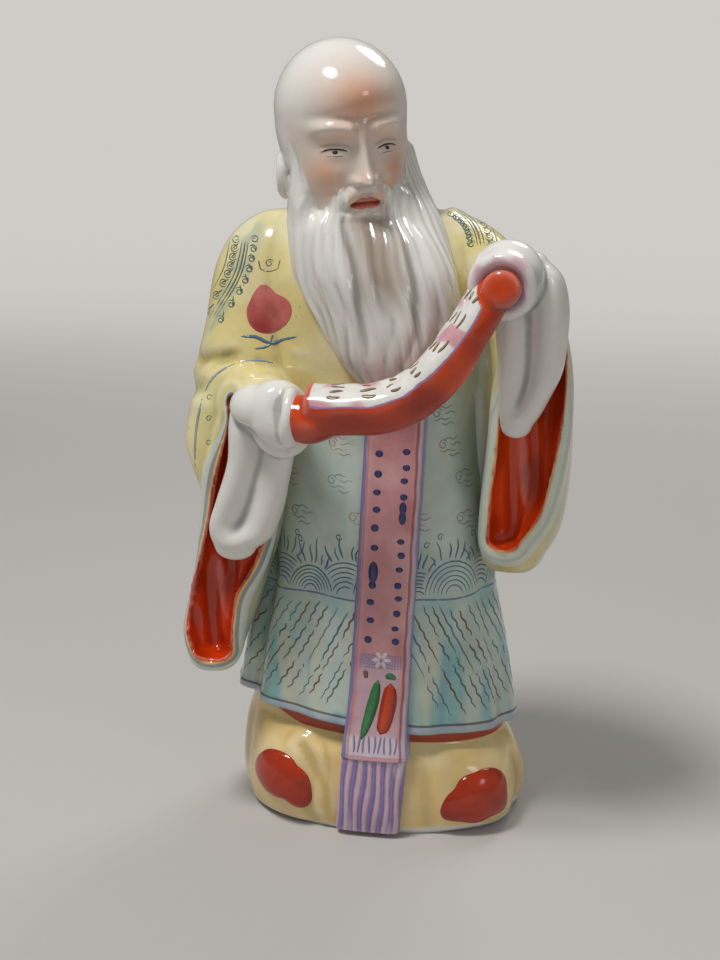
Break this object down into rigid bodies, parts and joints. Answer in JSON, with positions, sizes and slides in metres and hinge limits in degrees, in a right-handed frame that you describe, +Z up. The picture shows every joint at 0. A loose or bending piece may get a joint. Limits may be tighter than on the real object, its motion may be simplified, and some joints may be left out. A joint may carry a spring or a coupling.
{
  "type": "longevity god figurine",
  "caption": "Glazed porcelain figurine of the god of longevity, a bald old sage in a painted robe holding an open scroll.",
  "frame": {"origin": "middle of the foot block on the surface that the figurine stands on", "axes": "+Z up from the shelf, -Y the way the robe's front panel faces, +X the figure's left"},
  "size_m": [0.1252, 0.0929, 0.2556],
  "materials": {
    "porcelain_white": "gloss",
    "enamel_yellow": "gloss",
    "enamel_celadon": "gloss",
    "enamel_cream": "gloss",
    "enamel_vermilion": "gloss",
    "enamel_pink": "gloss",
    "enamel_lilac": "gloss"
  },
  "bodies": {
    "root": {"foot_block": "enamel_cream", "right_shoe": "enamel_vermilion", "left_shoe": "enamel_vermilion", "skirt": "enamel_celadon", "front_panel": "enamel_pink", "panel_fringe": "enamel_lilac", "torso": "enamel_yellow", "head": "porcelain_white", "right_ear": "porcelain_white", "left_ear": "porcelain_white", "moustache": "porcelain_white", "beard": "porcelain_white", "right_side_lock": "porcelain_white", "left_side_lock": "porcelain_white", "right_sleeve": "enamel_yellow", "right_cuff": "porcelain_white", "right_hand": "porcelain_white", "left_sleeve": "enamel_yellow", "left_cuff": "porcelain_white", "left_hand": "porcelain_white", "scroll_band": "enamel_vermilion", "right_scroll_roll": "enamel_vermilion", "left_scroll_roll": "enamel_vermilion"}
  },
  "joints": []
}
